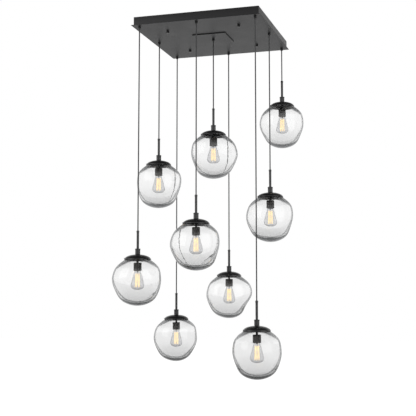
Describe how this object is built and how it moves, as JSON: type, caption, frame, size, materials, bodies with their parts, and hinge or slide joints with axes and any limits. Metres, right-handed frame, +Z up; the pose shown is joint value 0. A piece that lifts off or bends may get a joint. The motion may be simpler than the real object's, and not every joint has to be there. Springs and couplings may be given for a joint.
{
  "type": "cluster pendant light",
  "caption": "Square ceiling canopy from which clear blown glass globes hang at stepped heights on straight black cords, each with a black cap, stem, lamp socket and pear-shaped bulb.",
  "frame": {"origin": "middle of the canopy in the plane of the ceiling, at the centre of the outlet-box slots", "axes": "+Z up, towards the ceiling; +X along the front edge of the canopy; +Y from its front edge to its back"},
  "size_m": [0.7562, 0.7554, 1.6101],
  "materials": {
    "canopy_paint": "matte black powder coat",
    "black_metal": "satin black",
    "zinc_steel": "zinc plated",
    "cord_black": "matte black cord",
    "socket_black": "moulded phenolic",
    "bulb_glass": "clear bulb",
    "clear_glass": "clear blown glass"
  },
  "bodies": {
    "canopy": {"canopy_box": "canopy_paint", "face_plate": "canopy_paint", "centre_plate": "canopy_paint", "mounting_bracket": "zinc_steel", "thumb_nuts": "black_metal", "cord_grips": "black_metal"},
    "drop_front_left": {"cord_front_left": "cord_black"},
    "pendant_front_left": {"stem_front_left": "black_metal", "cap_front_left": "black_metal", "socket_front_left": "socket_black", "bulb_front_left": "bulb_glass", "globe_front_left": "clear_glass"},
    "drop_front_centre": {"cord_front_centre": "cord_black"},
    "pendant_front_centre": {"stem_front_centre": "black_metal", "cap_front_centre": "black_metal", "socket_front_centre": "socket_black", "bulb_front_centre": "bulb_glass", "globe_front_centre": "clear_glass"},
    "drop_front_right": {"cord_front_right": "cord_black"},
    "pendant_front_right": {"stem_front_right": "black_metal", "cap_front_right": "black_metal", "socket_front_right": "socket_black", "bulb_front_right": "bulb_glass", "globe_front_right": "clear_glass"},
    "drop_middle_left": {"cord_middle_left": "cord_black"},
    "pendant_middle_left": {"stem_middle_left": "black_metal", "cap_middle_left": "black_metal", "socket_middle_left": "socket_black", "bulb_middle_left": "bulb_glass", "globe_middle_left": "clear_glass"},
    "drop_centre": {"cord_centre": "cord_black"},
    "pendant_centre": {"stem_centre": "black_metal", "cap_centre": "black_metal", "socket_centre": "socket_black", "bulb_centre": "bulb_glass", "globe_centre": "clear_glass"},
    "drop_middle_right": {"cord_middle_right": "cord_black"},
    "pendant_middle_right": {"stem_middle_right": "black_metal", "cap_middle_right": "black_metal", "socket_middle_right": "socket_black", "bulb_middle_right": "bulb_glass", "globe_middle_right": "clear_glass"},
    "drop_back_left": {"cord_back_left": "cord_black"},
    "pendant_back_left": {"stem_back_left": "black_metal", "cap_back_left": "black_metal", "socket_back_left": "socket_black", "bulb_back_left": "bulb_glass", "globe_back_left": "clear_glass"},
    "drop_back_centre": {"cord_back_centre": "cord_black"},
    "pendant_back_centre": {"stem_back_centre": "black_metal", "cap_back_centre": "black_metal", "socket_back_centre": "socket_black", "bulb_back_centre": "bulb_glass", "globe_back_centre": "clear_glass"},
    "drop_back_right": {"cord_back_right": "cord_black"},
    "pendant_back_right": {"stem_back_right": "black_metal", "cap_back_right": "black_metal", "socket_back_right": "socket_black", "bulb_back_right": "bulb_glass", "globe_back_right": "clear_glass"}
  },
  "joints": [
    {"name": "swing_front_left", "type": "hinge", "parent": "canopy", "child": "drop_front_left", "pos_m": [-0.27, -0.27, -0.0464], "axis": [1, 0, 0], "range_deg": [-8, 8]},
    {"name": "tilt_front_left", "type": "hinge", "parent": "drop_front_left", "child": "pendant_front_left", "pos_m": [-0.27, -0.27, -0.9726], "axis": [0, 1, 0], "range_deg": [-10, 10]},
    {"name": "swing_front_centre", "type": "hinge", "parent": "canopy", "child": "drop_front_centre", "pos_m": [0, -0.27, -0.0464], "axis": [1, 0, 0], "range_deg": [-8, 8]},
    {"name": "tilt_front_centre", "type": "hinge", "parent": "drop_front_centre", "child": "pendant_front_centre", "pos_m": [0, -0.27, -0.8216], "axis": [0, 1, 0], "range_deg": [-10, 10]},
    {"name": "swing_front_right", "type": "hinge", "parent": "canopy", "child": "drop_front_right", "pos_m": [0.27, -0.27, -0.0464], "axis": [1, 0, 0], "range_deg": [-8, 8]},
    {"name": "tilt_front_right", "type": "hinge", "parent": "drop_front_right", "child": "pendant_front_right", "pos_m": [0.27, -0.27, -1.2836], "axis": [0, 1, 0], "range_deg": [-10, 10]},
    {"name": "swing_middle_left", "type": "hinge", "parent": "canopy", "child": "drop_middle_left", "pos_m": [-0.27, 0, -0.0464], "axis": [1, 0, 0], "range_deg": [-8, 8]},
    {"name": "tilt_middle_left", "type": "hinge", "parent": "drop_middle_left", "child": "pendant_middle_left", "pos_m": [-0.27, 0, -0.5116], "axis": [0, 1, 0], "range_deg": [-10, 10]},
    {"name": "swing_centre", "type": "hinge", "parent": "canopy", "child": "drop_centre", "pos_m": [0, 0, -0.0504], "axis": [1, 0, 0], "range_deg": [-8, 8]},
    {"name": "tilt_centre", "type": "hinge", "parent": "drop_centre", "child": "pendant_centre", "pos_m": [0, 0, -0.3826], "axis": [0, 1, 0], "range_deg": [-10, 10]},
    {"name": "swing_middle_right", "type": "hinge", "parent": "canopy", "child": "drop_middle_right", "pos_m": [0.27, 0, -0.0464], "axis": [1, 0, 0], "range_deg": [-8, 8]},
    {"name": "tilt_middle_right", "type": "hinge", "parent": "drop_middle_right", "child": "pendant_middle_right", "pos_m": [0.27, 0, -0.6836], "axis": [0, 1, 0], "range_deg": [-10, 10]},
    {"name": "swing_back_left", "type": "hinge", "parent": "canopy", "child": "drop_back_left", "pos_m": [-0.27, 0.27, -0.0464], "axis": [1, 0, 0], "range_deg": [-8, 8]},
    {"name": "tilt_back_left", "type": "hinge", "parent": "drop_back_left", "child": "pendant_back_left", "pos_m": [-0.27, 0.27, -1.2366], "axis": [0, 1, 0], "range_deg": [-10, 10]},
    {"name": "swing_back_centre", "type": "hinge", "parent": "canopy", "child": "drop_back_centre", "pos_m": [0, 0.27, -0.0464], "axis": [1, 0, 0], "range_deg": [-8, 8]},
    {"name": "tilt_back_centre", "type": "hinge", "parent": "drop_back_centre", "child": "pendant_back_centre", "pos_m": [0, 0.27, -1.0276], "axis": [0, 1, 0], "range_deg": [-10, 10]},
    {"name": "swing_back_right", "type": "hinge", "parent": "canopy", "child": "drop_back_right", "pos_m": [0.27, 0.27, -0.0464], "axis": [1, 0, 0], "range_deg": [-8, 8]},
    {"name": "tilt_back_right", "type": "hinge", "parent": "drop_back_right", "child": "pendant_back_right", "pos_m": [0.27, 0.27, -0.2066], "axis": [0, 1, 0], "range_deg": [-10, 10]}
  ]
}
